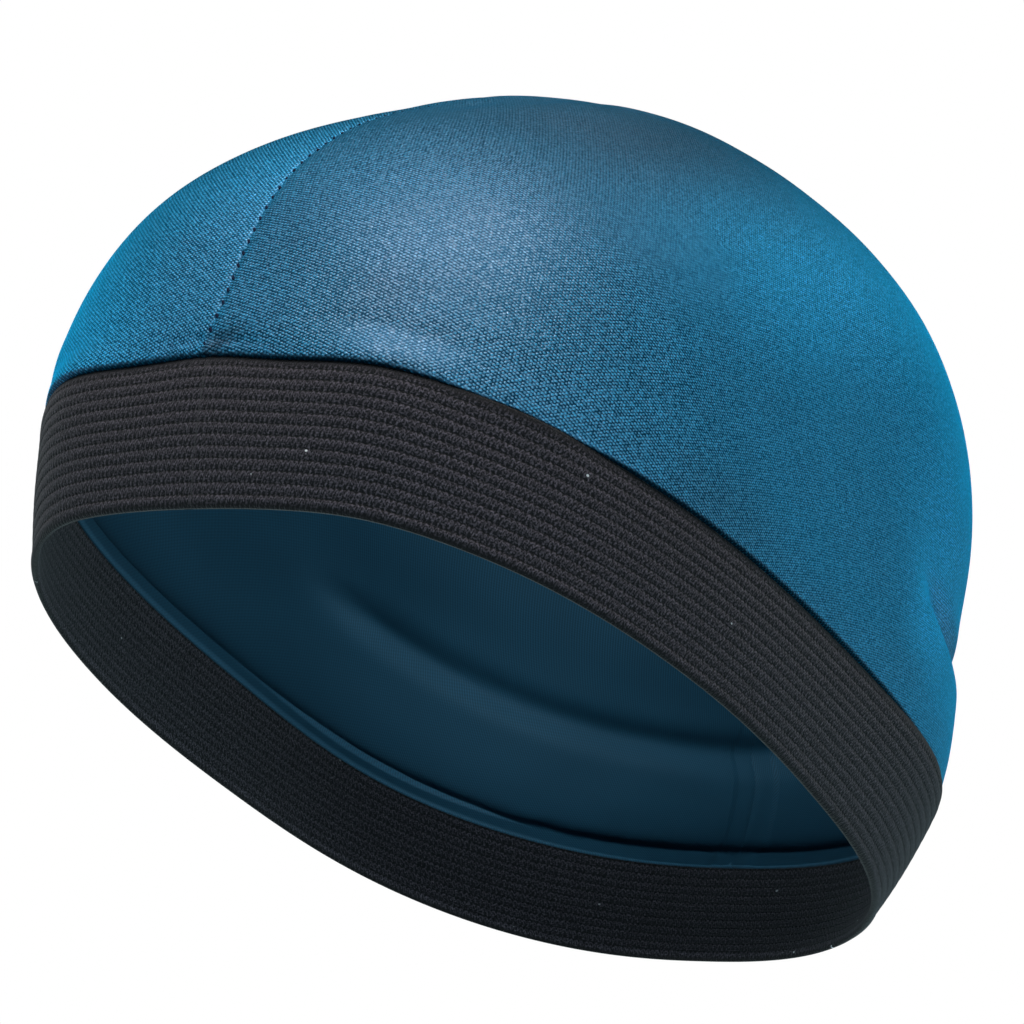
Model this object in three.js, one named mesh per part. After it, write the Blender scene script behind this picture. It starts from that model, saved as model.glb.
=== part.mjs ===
// Satin wave cap: two crown panels that meet in a centre seam, and a knitted elastic band.
// Millimetres. +X is the wearer's left, -Y the front and +Z up, as the cap is worn.
// The origin is the centre of the opening, in the plane of the band's lower edge.
import * as THREE from "three";

// Head form that the cap is stretched over
const HALF_WIDTH = 77;
const FRONT_LENGTH = 103;
const BACK_LENGTH = 92;
const CROWN_HEIGHT = 94;
const NAPE_DEPTH = 102;
const PLAN_POWER = 2.42;
const SIDE_POWER = 2.24;
const HEAD_CENTRE = new THREE.Vector3(0, 10, 39.6);

// Soft swellings (+) and hollows (-) of the head form, the same on both sides.
// turn: degrees from the front towards the side; rise: degrees above level; spread: degrees.
const SWELLINGS = [
  { name: "top", turn: 0, rise: 90, spread: 20, height: 0.3 },
  { name: "brow slope", turn: 18, rise: 44, spread: 15, height: 1.2 },
  { name: "front slope", turn: 12, rise: 64, spread: 15, height: -1.2 },
  { name: "front corner", turn: 46, rise: 58, spread: 12, height: -3.2 },
  { name: "temple", turn: 40, rise: 32, spread: 16, height: 2.2 },
  { name: "temple low", turn: 32, rise: 12, spread: 15, height: 1.6 },
  { name: "side", turn: 85, rise: 30, spread: 24, height: -0.6 },
  { name: "back shoulder", turn: 120, rise: 55, spread: 16, height: -1.2 },
  { name: "back quarter", turn: 131, rise: 30, spread: 16, height: 2.9 },
  { name: "back low", turn: 133, rise: 12, spread: 13, height: 1.6 },
  { name: "nape", turn: 134, rise: -24, spread: 14, height: 1.8 },
];

// Elastic band
const BAND_PITCH = THREE.MathUtils.degToRad(24.9); // worn high at the brow and low at the nape
const BAND_HEIGHT = 26.5;
const BAND_THICKNESS = 1.6;
const BAND_STEPS = 96; // around the head
// Faces across the width. up: share of the height; out: mm beyond the head form, and for the
// back face mm beyond a wall of the band's own thickness.
const BAND_FACE = [
  { up: 0.0, out: -0.35 },
  { up: 0.03, out: 0.25 },
  { up: 0.09, out: 0.0 },
  { up: 0.45, out: 0.1 },
  { up: 0.8, out: 0.15 },
  { up: 0.89, out: 0.75 },
  { up: 0.96, out: 0.85 },
  { up: 1.0, out: 0.2 },
];

const BAND_BACK = [
  { up: 1.0, out: 0 },
  { up: 0.85, out: 0 },
  { up: 0.6, out: 0 },
  { up: 0.3, out: 0 },
  { up: 0.03, out: 0 },
  { up: 0.0, out: -0.35 },
];
// The upper edge is drawn up a little where the thick end of the seam meets it.
const SEAM_PEAK = { rise: 1.1, reach: 4.5 }; // mm, degrees
// How far the lower edge stands out beyond the upper one. turn: degrees from the front.
const BAND_LEAN = [
  { turn: 6, lean: 0 },
  { turn: 31, lean: 1.7 },
  { turn: 62, lean: 0 },
];
const LEAN_PIVOT = 0.4; // share of the height that the lean leaves in place
const LEAN_FADE = { from: 1.1, to: 14 }; // mm over the band in which the satin takes up its own line

// Crown panels
const SATIN_THICKNESS = 1.15;
const SEAM_GAP = 0.3;
const HEM_GAP = 0.4; // between the hem and the band in front of it
const HEM_DEPTH = 4; // hem turned down behind the band
// Outer face near the band. over: mm above the band's upper edge; out: mm beyond the form.
const HEM_FACE = [
  { over: -HEM_DEPTH, out: -(BAND_THICKNESS + HEM_GAP) },
  { over: 1.1, out: -(BAND_THICKNESS + HEM_GAP) },
  { over: 2.6, out: 0.2 },
  { over: 5, out: 0.4 },
  { over: 10, out: 0.25 },
  { over: 18, out: 0 },
];
const HEM_HOLD = { from: 1.1, to: 3.4 }; // mm over the band in which the folds run out
// The satin dips where the two panels are sewn together.
const SEAM_DIP = { depth: 0.5, reach: 1.8 };

// Folds and gathers. Each runs along a line of the crown from one end to the other.
// turn: degrees round the opening from the front; over: mm above the band's upper edge;
// width: mm from the middle of the fold to its flank; height: mm, below zero for a crease.
const FOLDS = [
  { name: "back crease", turn: [110, 180], over: [26, 20], width: 2.6, height: -1.9, fade: [18, 0] },
  { name: "slack over it", turn: [104, 180], over: [33, 27], width: 7, height: -1.1, fade: [20, 0] },
  { name: "brow flare", turn: [21, 40], over: [3, 3], width: 6, height: 1.2, fade: [12, 16] },
  { name: "seam gather, low", turn: [1, 9], over: [2.2, 3.4], width: 1.5, height: -0.9, fade: [3, 7] },
  { name: "seam gather, high", turn: [1.5, 7], over: [5.5, 9.5], width: 1.6, height: -0.6, fade: [3, 4] },
  { name: "seam gather, ridge", turn: [1.5, 8], over: [4, 6.2], width: 1.2, height: 0.45, fade: [3, 4] },
];
// Shallow puckers beside the seam on top. forward: mm in front of the centre of the opening.
const PUCKERS = [
  { name: "front pucker", side: 12, forward: 14, across: 4, along: 15, height: -0.7 },
  { name: "back pucker", side: 15, forward: -13, across: 4.5, along: 16, height: -0.8 },
];

// Grid lines of a crown panel, in degrees: along from the brow, over the top to the nape;
// across from the seam down to the hem. They are close where the satin is folded.
const ALONG = [
  { upTo: 7.5, steps: 6 },
  { upTo: 18, steps: 4 },
  { upTo: 142, steps: 20 },
  { upTo: 171, steps: 13 },
  { upTo: 180, steps: 5 },
];
const ACROSS = [
  { upTo: 2, steps: 2 },
  { upTo: 60, steps: 7 },
  { upTo: 81, steps: 6 },
  { upTo: 90, steps: 8 },
];

const TOLERANCE = 1e-7;

const rad = THREE.MathUtils.degToRad;
const FORWARD = new THREE.Vector3(0, -Math.cos(BAND_PITCH), Math.sin(BAND_PITCH));
const LEFT = new THREE.Vector3(1, 0, 0);
const UP_FROM_BAND = new THREE.Vector3(0, Math.sin(BAND_PITCH), Math.cos(BAND_PITCH));

// A bell curve that is 1 at the middle and falls to 0.6 at one reach.
function bell(distance, reach) {
  return Math.exp(-0.5 * (distance / reach) ** 2);
}

// Smooth step from 0 at the first limit to 1 at the second.
function ease(value, from, to) {
  if (to === from) return value >= to ? 1 : 0;
  return THREE.MathUtils.smoothstep(value, from, to);
}

// Value of a table at x, eased from row to row.
function readTable(rows, x, xName, yName) {
  if (x <= rows[0][xName]) return rows[0][yName];
  for (let i = 1; i < rows.length; i += 1) {
    const a = rows[i - 1];
    const b = rows[i];
    if (x <= b[xName]) {
      return THREE.MathUtils.lerp(a[yName], b[yName], ease(x, a[xName], b[xName]));
    }
  }
  return rows[rows.length - 1][yName];
}

function directionAt(turn, rise) {
  const level = Math.cos(rad(rise));
  const x = Math.sin(rad(turn)) * level;
  return new THREE.Vector3(x, -Math.cos(rad(turn)) * level, Math.sin(rad(rise)));
}

const SWELLING_CENTRES = SWELLINGS.map((row) => directionAt(row.turn, row.rise));

// Radius of the head form from its centre, for a direction on the left half (x >= 0).
function formRadius(direction) {
  const length = direction.y < 0 ? FRONT_LENGTH : BACK_LENGTH;
  const height = direction.z < 0 ? NAPE_DEPTH : CROWN_HEIGHT;
  const x = Math.abs(direction.x) / HALF_WIDTH;
  const y = Math.abs(direction.y) / length;
  const z = Math.abs(direction.z) / height;
  const plan = (x ** PLAN_POWER + y ** PLAN_POWER) ** (1 / PLAN_POWER);
  let radius = 1 / (plan ** SIDE_POWER + z ** SIDE_POWER) ** (1 / SIDE_POWER);
  SWELLINGS.forEach((row, i) => {
    const centre = SWELLING_CENTRES[i];
    const level = direction.y * centre.y + direction.z * centre.z;
    for (const side of [1, -1]) {
      const apart = Math.sqrt(Math.max(0, 2 - 2 * (level + side * direction.x * centre.x)));
      radius += row.height * bell(apart, rad(row.spread));
    }
  });
  return radius;
}

// Distance from a point inside the head form to its surface, along a direction.
function reachForm(start, direction) {
  let inner = 0;
  let outer = 2 * FRONT_LENGTH;
  const probe = new THREE.Vector3();
  while (outer - inner > TOLERANCE) {
    const middle = (inner + outer) / 2;
    probe.copy(direction).multiplyScalar(middle).add(start).sub(HEAD_CENTRE);
    const distance = probe.length();
    if (distance < formRadius(probe.divideScalar(distance))) inner = middle;
    else outer = middle;
  }
  return inner;
}

// Height of the band's upper edge over its lower edge.
function bandTop(turn) {
  return BAND_HEIGHT + SEAM_PEAK.rise * bell(turn, SEAM_PEAK.reach);
}

// How far the band stands off the head form by its lean, at a share of its height.
function bandLean(turn, up) {
  return readTable(BAND_LEAN, turn, "turn", "lean") * (LEAN_PIVOT - up);
}

// Where a point of the crown lies: its turn round the opening, and its height over the band.
function placeOf(point) {
  const turn = THREE.MathUtils.radToDeg(Math.atan2(Math.abs(point.x), point.dot(FORWARD)));
  return { turn, over: point.dot(UP_FROM_BAND) - bandTop(turn) };
}

function foldHeight(fold, place) {
  const [start, end] = fold.turn;
  const share = THREE.MathUtils.clamp((place.turn - start) / (end - start), 0, 1);
  const line = THREE.MathUtils.lerp(fold.over[0], fold.over[1], share);
  const begins = ease(place.turn, start - fold.fade[0] / 2, start + fold.fade[0] / 2);
  const lastHalf = fold.fade[1] / 2;
  const stops = lastHalf === 0 ? 0 : ease(place.turn, end - lastHalf, end + lastHalf);
  return fold.height * bell(place.over - line, fold.width) * begins * (1 - stops);
}

// How far the satin stands beyond the head form at a point of it.
function satinRelief(point) {
  const place = placeOf(point);
  let relief = readTable(HEM_FACE, place.over, "over", "out");
  relief += bandLean(place.turn, 1) * (1 - ease(place.over, LEAN_FADE.from, LEAN_FADE.to));
  const free = ease(place.over, HEM_HOLD.from, HEM_HOLD.to);
  for (const fold of FOLDS) relief += free * foldHeight(fold, place);
  for (const pucker of PUCKERS) {
    const aside = (Math.abs(point.x) - pucker.side) / pucker.across;
    const ahead = (-point.y - pucker.forward) / pucker.along;
    const top = ease(point.z, HEAD_CENTRE.z, HEAD_CENTRE.z + CROWN_HEIGHT / 2);
    relief += pucker.height * Math.exp(-0.5 * (aside ** 2 + ahead ** 2)) * top;
  }
  return relief - free * SEAM_DIP.depth * bell(point.x, SEAM_DIP.reach);
}

// Line positions from a table of stretches, each cut into equal steps.
function gridLines(stretches) {
  const lines = [0];
  for (const { upTo, steps } of stretches) {
    const from = lines[lines.length - 1];
    for (let i = 1; i <= steps; i += 1) lines.push(from + ((upTo - from) * i) / steps);
  }
  return lines;
}

function geometryFrom(vertices, triangles) {
  const geometry = new THREE.BufferGeometry();
  const positions = vertices.flatMap((v) => v.toArray());
  geometry.setAttribute("position", new THREE.Float32BufferAttribute(positions, 3));
  geometry.setIndex(triangles.flat());
  geometry.computeVertexNormals();
  return geometry;
}

// The left crown panel as a closed shell. Its grid turns about the line from the brow end of
// the seam to the nape end: the first line is the seam, the last one the hem's lower edge.
function crownPanelShell() {
  const hemCentre = UP_FROM_BAND.clone().multiplyScalar(BAND_HEIGHT - HEM_DEPTH);
  const along = gridLines(ALONG);
  const across = gridLines(ACROSS);
  const last = along.length - 1;
  const vertices = [];
  const triangles = [];

  function addPoint(direction, distance) {
    vertices.push(direction.clone().multiplyScalar(distance).add(hemCentre));
    return vertices.length - 1;
  }

  // Pairs of an outer and an inner vertex at every crossing; the two ends are single pairs.
  function addPair(alongAngle, acrossAngle) {
    const upright = UP_FROM_BAND.clone().multiplyScalar(Math.cos(acrossAngle));
    const sideways = LEFT.clone().multiplyScalar(Math.sin(acrossAngle));
    const direction = FORWARD.clone()
      .multiplyScalar(Math.cos(alongAngle))
      .addScaledVector(upright.add(sideways), Math.sin(alongAngle));
    const reach = reachForm(hemCentre, direction);
    const onForm = direction.clone().multiplyScalar(reach).add(hemCentre);
    const outer = reach + satinRelief(onForm);
    return { outer: addPoint(direction, outer), inner: addPoint(direction, outer - SATIN_THICKNESS) };
  }

  const grid = along.map((a, i) => {
    if (i === 0 || i === last) {
      const end = addPair(rad(a), 0);
      return across.map(() => end);
    }
    return across.map((c) => addPair(rad(a), rad(c)));
  });

  function addFace(a, b, c) {
    if (a !== b && b !== c && c !== a) triangles.push([a, b, c]);
  }
  for (let i = 0; i < last; i += 1) {
    for (let j = 0; j < across.length - 1; j += 1) {
      const [p, q, r, s] = [grid[i][j], grid[i + 1][j], grid[i + 1][j + 1], grid[i][j + 1]];
      addFace(p.outer, r.outer, q.outer);
      addFace(p.outer, s.outer, r.outer);
      addFace(p.inner, q.inner, r.inner);
      addFace(p.inner, r.inner, s.inner);
    }
    const [seamA, seamB] = [grid[i][0], grid[i + 1][0]];
    addFace(seamA.outer, seamB.outer, seamB.inner);
    addFace(seamA.outer, seamB.inner, seamA.inner);
    const [hemA, hemB] = [grid[i][across.length - 1], grid[i + 1][across.length - 1]];
    addFace(hemA.outer, hemB.inner, hemB.outer);
    addFace(hemA.outer, hemA.inner, hemB.inner);
  }
  for (const vertex of vertices) vertex.x += SEAM_GAP / 2;
  return { vertices, triangles };
}

// The same shell for the other side of the head.
function mirrored({ vertices, triangles }) {
  return {
    vertices: vertices.map((v) => new THREE.Vector3(-v.x, v.y, v.z)),
    triangles: triangles.map(([a, b, c]) => [a, c, b]),
  };
}

// The band as a closed ring: its face from the lower edge up, and its back down again.
function bandShell() {
  const back = BAND_BACK.map(({ up, out }) => ({ up, out: out - BAND_THICKNESS }));
  const levels = [...BAND_FACE, ...back];
  const vertices = [];
  for (const level of levels) {
    for (let i = 0; i < BAND_STEPS; i += 1) {
      const angle = (2 * Math.PI * i) / BAND_STEPS;
      const turn = THREE.MathUtils.radToDeg(Math.min(angle, 2 * Math.PI - angle));
      const direction = FORWARD.clone().multiplyScalar(Math.cos(angle));
      direction.addScaledVector(LEFT, Math.sin(angle));
      const centre = UP_FROM_BAND.clone().multiplyScalar(level.up * bandTop(turn));
      const distance = reachForm(centre, direction) + level.out + bandLean(turn, level.up);
      vertices.push(direction.multiplyScalar(distance).add(centre));
    }
  }
  const triangles = [];
  for (let k = 0; k < levels.length; k += 1) {
    const row = k * BAND_STEPS;
    const next = ((k + 1) % levels.length) * BAND_STEPS;
    for (let i = 0; i < BAND_STEPS; i += 1) {
      const j = (i + 1) % BAND_STEPS;
      triangles.push([row + i, row + j, next + j], [row + i, next + j, next + i]);
    }
  }
  return { vertices, triangles };
}

// Finishes
const satin = { color: 0x1c5a78, roughness: 0.38, metalness: 0, side: THREE.DoubleSide };
const knit = { color: 0x282a2f, roughness: 0.85, metalness: 0, side: THREE.DoubleSide };

function addNode(group, name, { vertices, triangles }, finish) {
  const material = new THREE.MeshStandardMaterial(finish);
  const mesh = new THREE.Mesh(geometryFrom(vertices, triangles), material);
  mesh.name = name;
  group.add(mesh);
}

const cap = new THREE.Group();
cap.name = "wave_cap";
const leftPanel = crownPanelShell();
addNode(cap, "crown_panel_left", leftPanel, satin);
addNode(cap, "crown_panel_right", mirrored(leftPanel), satin);
addNode(cap, "elastic_band", bandShell(), knit);

export default cap;
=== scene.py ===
"""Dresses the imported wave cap: satin crown panels, the stitched centre seam and the knitted band.

Sizes in tables and fields are millimetres, as in the part's source, and angles are degrees.
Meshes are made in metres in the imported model's frame: +X is the cap's left, -Y its front and
+Z up, with the origin at the centre of the opening.
"""

import logging
import math
from dataclasses import dataclass, field
from enum import Enum

import bpy
import numpy as np
from mathutils import Matrix, Vector

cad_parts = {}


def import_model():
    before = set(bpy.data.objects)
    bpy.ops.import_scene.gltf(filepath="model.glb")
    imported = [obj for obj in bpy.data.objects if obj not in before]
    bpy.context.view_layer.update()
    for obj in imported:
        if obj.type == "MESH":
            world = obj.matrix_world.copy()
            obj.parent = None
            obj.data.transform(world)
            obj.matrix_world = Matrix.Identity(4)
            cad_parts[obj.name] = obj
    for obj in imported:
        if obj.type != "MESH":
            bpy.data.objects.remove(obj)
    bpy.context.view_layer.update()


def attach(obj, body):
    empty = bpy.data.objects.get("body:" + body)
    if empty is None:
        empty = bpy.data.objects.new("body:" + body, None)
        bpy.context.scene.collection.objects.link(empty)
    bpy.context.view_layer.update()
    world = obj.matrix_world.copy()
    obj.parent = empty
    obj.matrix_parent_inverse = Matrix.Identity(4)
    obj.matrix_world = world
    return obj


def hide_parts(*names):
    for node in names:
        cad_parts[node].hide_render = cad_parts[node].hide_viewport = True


MM = 0.001
PICTURE = 1024  # pixels along each side of the picture
BODY = "root"
CLOTH = "cloth"  # mesh attribute that holds a point's place in the flat cloth
NOISE_RANGE = (0.3, 0.7)  # values between which most of a noise lies
MIX_A, MIX_B, MIX_RESULT = 6, 7, 2  # sockets of a Mix node that hold colours
Pair = tuple[float, float]
Triple = tuple[float, float, float]
Colour = tuple[float, float, float, float]
Table = tuple[Pair, ...]
Stretches = tuple[tuple[float, int], ...]
Faces = list[list[int]]
Socket = bpy.types.NodeSocket
log = logging.getLogger("wave_cap")


class Side(Enum):
    """The half of the cap that a panel makes; the value is the sign of X."""

    LEFT = 1
    RIGHT = -1


class Slot(Enum):
    """Material slots of the record."""

    SATIN = "satin"
    ELASTIC = "elastic"


def bell(distance: np.ndarray, reach: float) -> np.ndarray:
    """A bell curve that is 1 at the middle and 0.6 at one reach."""
    return np.exp(-0.5 * (distance / reach) ** 2)


def ease(value: np.ndarray, start: float, end: float) -> np.ndarray:
    """Smooth step from 0 at start to 1 at end."""
    share = np.clip((value - start) / (end - start), 0.0, 1.0)
    return share * share * (3.0 - 2.0 * share)


def eased_table(rows: Table, value: np.ndarray) -> np.ndarray:
    """Reads a table at a value, eased from row to row.

    Args:
        rows: pairs of a place and the height there, in rising order of place.
        value: places to read at.

    Returns:
        The height at each value.
    """
    result = np.full(np.shape(value), rows[0][1], float)
    for (start, low), (end, high) in zip(rows, rows[1:]):
        result += (high - low) * ease(value, start, end)
    return result


def unit_vector(turn: float, rise: float, mirror: int = 1) -> np.ndarray:
    """Direction at a turn from the front towards the left, or the right, and a rise above level.

    Args:
        turn: angle from the front, seen from above.
        rise: angle above level.
        mirror: 1 towards the left, -1 towards the right.

    Returns:
        A unit vector.
    """
    level = math.cos(math.radians(rise))
    across = math.sin(math.radians(turn)) * level * mirror
    return np.array([across, -math.cos(math.radians(turn)) * level, math.sin(math.radians(rise))])


@dataclass(frozen=True)
class Swelling:
    """A soft swelling of the dome form, or a hollow if its height is below zero.

    Attributes:
        turn, rise: direction of its middle.
        spread: how far it reaches, in degrees.
        height: how far it stands out.
    """

    turn: float
    rise: float
    spread: float
    height: float


@dataclass(frozen=True)
class DomeForm:
    """The smooth form that the cap is stretched over.

    Attributes:
        half_width, front_length, back_length, crown_height, lower_depth: reach from the centre.
        plan_power, side_power: how square the form is from above and from the side.
        centre: the point that its radius is measured from.
        halvings: steps in which a distance to the form is found.
        swellings: soft departures from that form, the same on both sides.
    """

    half_width: float = 77.0
    front_length: float = 103.0
    back_length: float = 92.0
    crown_height: float = 94.0
    lower_depth: float = 102.0
    plan_power: float = 2.42
    side_power: float = 2.24
    centre: Triple = (0.0, 10.0, 39.6)
    halvings: int = 34
    swellings: tuple[Swelling, ...] = (
        Swelling(turn=0, rise=90, spread=20, height=0.3),
        Swelling(turn=18, rise=44, spread=15, height=1.2),
        Swelling(turn=12, rise=64, spread=15, height=-1.2),
        Swelling(turn=46, rise=58, spread=12, height=-3.2),
        Swelling(turn=40, rise=32, spread=16, height=2.2),
        Swelling(turn=32, rise=12, spread=15, height=1.6),
        Swelling(turn=85, rise=30, spread=24, height=-0.6),
        Swelling(turn=120, rise=55, spread=16, height=-1.2),
        Swelling(turn=131, rise=30, spread=16, height=2.9),
        Swelling(turn=133, rise=12, spread=13, height=1.6),
        Swelling(turn=134, rise=-24, spread=14, height=1.8),
    )

    def radius(self, directions: np.ndarray) -> np.ndarray:
        """Radius of the form from its centre.

        Args:
            directions: unit vectors, one a row.

        Returns:
            The radius along each of them.
        """
        x, y, z = directions.T
        length = np.where(y < 0, self.front_length, self.back_length)
        height = np.where(z < 0, self.lower_depth, self.crown_height)
        plan = np.abs(x / self.half_width) ** self.plan_power + np.abs(y / length) ** self.plan_power
        plan = plan ** (self.side_power / self.plan_power)
        result = (plan + np.abs(z / height) ** self.side_power) ** (-1.0 / self.side_power)
        for row in self.swellings:
            spread = math.radians(row.spread)
            for mirror in (1, -1):
                middle = unit_vector(row.turn, row.rise, mirror)
                apart = np.sqrt(np.maximum(0.0, 2.0 - 2.0 * directions @ middle))
                result += row.height * bell(apart, spread)
        return result

    def reach(self, start: np.ndarray, directions: np.ndarray) -> np.ndarray:
        """Distance from points inside the form to its surface.

        Args:
            start: one point, or one for each direction.
            directions: unit vectors, one a row.

        Returns:
            The distance along each direction.
        """
        near = np.zeros(len(directions))
        far = np.full(len(directions), 2.0 * self.front_length)
        for _ in range(self.halvings):
            middle = (near + far) / 2.0
            offset = start + directions * middle[:, None] - np.array(self.centre)
            distance = np.linalg.norm(offset, axis=1)
            inside = distance < self.radius(offset / distance[:, None])
            near = np.where(inside, middle, near)
            far = np.where(inside, far, middle)
        return near


@dataclass(frozen=True)
class Corner:
    """A place where the band is squarer in plan than the dome form.

    Attributes:
        turn, spread: its middle and how far it goes on round the opening.
        top, foot: how far the upper and the lower edge stand out.
        curl: power by which that changes up the band; a lip along the upper edge if it is high.
        satin: how far the satin stands out where it meets the band.
        fade: heights over the band between which the satin comes back to the form.
    """

    turn: float
    spread: float
    top: float
    foot: float
    curl: float
    satin: float
    fade: Pair

    def out(self, share: np.ndarray | float) -> np.ndarray | float:
        """How far the band stands out at the middle of the corner, at a share of its height."""
        return self.foot + (self.top - self.foot) * share**self.curl


@dataclass(frozen=True)
class Opening:
    """The line of the band, pitched high at the front and low at the back.

    Attributes:
        pitch: slope of the band's lower edge.
        height: height of the band's upper edge over the lower one.
        peak_rise, peak_reach: how the upper edge is drawn up at the foot of the seam.
        lean: turn and how far the lower edge stands out beyond the upper one.
        lean_pivot: share of the height that the lean leaves in place.
        hem_turn: heights between which the satin turns in to the hem that lies along the band.
        corners: where the band is squarer in plan.
    """

    pitch: float = 24.9
    height: float = 26.5
    peak_rise: float = 1.1
    peak_reach: float = 4.5
    lean: Table = ((6, 0), (31, 1.7), (62, 0))
    lean_pivot: float = 0.4
    hem_turn: Pair = (-1.4, -0.3)
    corners: tuple[Corner, ...] = (
        Corner(turn=20, spread=5.5, top=2.8, foot=1.0, curl=1.0, satin=2.7, fade=(0.5, 9.0)),
        Corner(turn=33, spread=5, top=1.6, foot=0.0, curl=9.0, satin=0.0, fade=(0.0, 1.0)),
        Corner(turn=124, spread=13, top=2.3, foot=0.6, curl=3.0, satin=0.3, fade=(0.5, 6.0)),
    )

    @property
    def forward(self) -> np.ndarray:
        """Towards the front, in the plane of the opening."""
        return np.array([0.0, -math.cos(math.radians(self.pitch)), math.sin(math.radians(self.pitch))])

    @property
    def left(self) -> np.ndarray:
        """Towards the left."""
        return np.array([1.0, 0.0, 0.0])

    @property
    def up(self) -> np.ndarray:
        """At right angles to the plane of the opening."""
        return np.array([0.0, math.sin(math.radians(self.pitch)), math.cos(math.radians(self.pitch))])

    def top(self, turn: np.ndarray) -> np.ndarray:
        """Height of the band's upper edge at a turn round the opening."""
        return self.height + self.peak_rise * bell(turn, self.peak_reach)

    def stand_off(self, turn: np.ndarray, share: np.ndarray) -> np.ndarray:
        """How far the band stands off the form by its lean and corners, at a share of its height.

        Args:
            turn: turn round the opening.
            share: share of the band's height.

        Returns:
            The distance at each place.
        """
        result = eased_table(self.lean, turn) * (self.lean_pivot - share)
        for corner in self.corners:
            result += bell(turn - corner.turn, corner.spread) * corner.out(share)
        return result

    def satin_stand_off(self, turn: np.ndarray, over: np.ndarray, fade: Pair) -> np.ndarray:
        """How far the satin stands off the form, so that it meets the band and its hem lies along it.

        Args:
            turn: turn round the opening.
            over: height over the band.
            fade: heights between which the lean of the band runs out.

        Returns:
            The distance at each place.
        """
        result = eased_table(self.lean, turn) * (self.lean_pivot - 1.0) * (1.0 - ease(over, *fade))
        hem = 1.0 - ease(over, *self.hem_turn)
        share = np.clip(1.0 + over / self.height, 0.0, 1.0)
        for corner in self.corners:
            satin = corner.satin * (1.0 - ease(over, *corner.fade))
            out = hem * corner.out(share) + (1.0 - hem) * satin
            result += bell(turn - corner.turn, corner.spread) * out
        return result

    def place(self, points: np.ndarray) -> tuple[np.ndarray, np.ndarray]:
        """Where points of the crown lie.

        Args:
            points: one a row.

        Returns:
            The turn of each round the opening from the front, and its height over the band.
        """
        turn = np.degrees(np.arctan2(np.abs(points[:, 0]), points @ self.forward))
        return turn, points @ self.up - self.top(turn)


@dataclass(frozen=True)
class Fold:
    """A crease (height below zero) or ridge along a line of the crown.

    Attributes:
        turn: turn round the opening at its two ends.
        over: height above the band at its two ends.
        width: from the middle of the fold to its flank.
        height: how far it stands out.
        fade: degrees in which it begins and ends; 0 runs on across the seam.
    """

    turn: Pair
    over: Pair
    width: float
    height: float
    fade: Pair

    def rise(self, turn: np.ndarray, over: np.ndarray) -> np.ndarray:
        """Height of the fold at places of the crown.

        Args:
            turn: turn round the opening.
            over: height over the band.

        Returns:
            The height at each place.
        """
        start, end = self.turn
        share = np.clip((turn - start) / (end - start), 0.0, 1.0)
        line = self.over[0] + (self.over[1] - self.over[0]) * share
        begin, stop = self.fade[0] / 2, self.fade[1] / 2
        shown = ease(turn, start - begin, start + begin)
        if stop:
            shown *= 1.0 - ease(turn, end - stop, end + stop)
        return self.height * bell(over - line, self.width) * shown


@dataclass(frozen=True)
class Pucker:
    """A shallow dent beside the seam on top of the crown.

    Attributes:
        side, forward: its middle, from the seam and from the frame's origin.
        across, along: how far it reaches.
        height: how far it stands out, below zero for a dent.
    """

    side: float
    forward: float
    across: float
    along: float
    height: float

    def rise(self, points: np.ndarray) -> np.ndarray:
        """Height of the pucker at points of the crown.

        Args:
            points: one a row.

        Returns:
            The height at each point.
        """
        aside = (np.abs(points[:, 0]) - self.side) / self.across
        ahead = (-points[:, 1] - self.forward) / self.along
        return self.height * np.exp(-0.5 * (aside**2 + ahead**2))


@dataclass(frozen=True)
class Slack:
    """A faint wave of the stretched satin; it bends the highlight a little.

    Attributes:
        direction: the way it runs.
        wavelength, start, height: of the wave, with the start in wavelengths.
    """

    direction: Triple
    wavelength: float
    start: float
    height: float

    def rise(self, points: np.ndarray) -> np.ndarray:
        """Height of the wave at points of the crown."""
        phase = points @ np.array(self.direction) / self.wavelength
        return self.height * np.sin(2.0 * math.pi * (phase + self.start))


@dataclass(frozen=True)
class StitchRow:
    """The row of sewing stitches along the centre seam.

    Attributes:
        spacing: from one stitch to the next.
        pit_depth, pit_along, pit_across: the dent that each stitch pulls into the satin.
    """

    spacing: float = 2.83
    pit_depth: float = 0.32
    pit_along: float = 0.45
    pit_across: float = 0.6

    def pull(self, travelled: np.ndarray, aside: np.ndarray) -> np.ndarray:
        """Depth of the dents.

        Args:
            travelled: length along the seam from its front end.
            aside: distance from the seam.

        Returns:
            The depth at each place.
        """
        from_stitch = self.spacing * np.abs((travelled / self.spacing) % 1.0 - 0.5)
        return self.pit_depth * bell(from_stitch, self.pit_along) * bell(aside, self.pit_across)


def grid_lines(stretches: Stretches) -> np.ndarray:
    """Line positions from a table of stretches, each the end and its number of equal steps.

    Args:
        stretches: where each stretch ends, and its steps.

    Returns:
        The positions, from 0 on.
    """
    lines = [np.array([0.0])]
    for end, steps in stretches:
        start = lines[-1][-1]
        lines.append(start + (end - start) * np.arange(1, steps + 1) / steps)
    return np.concatenate(lines)


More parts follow.
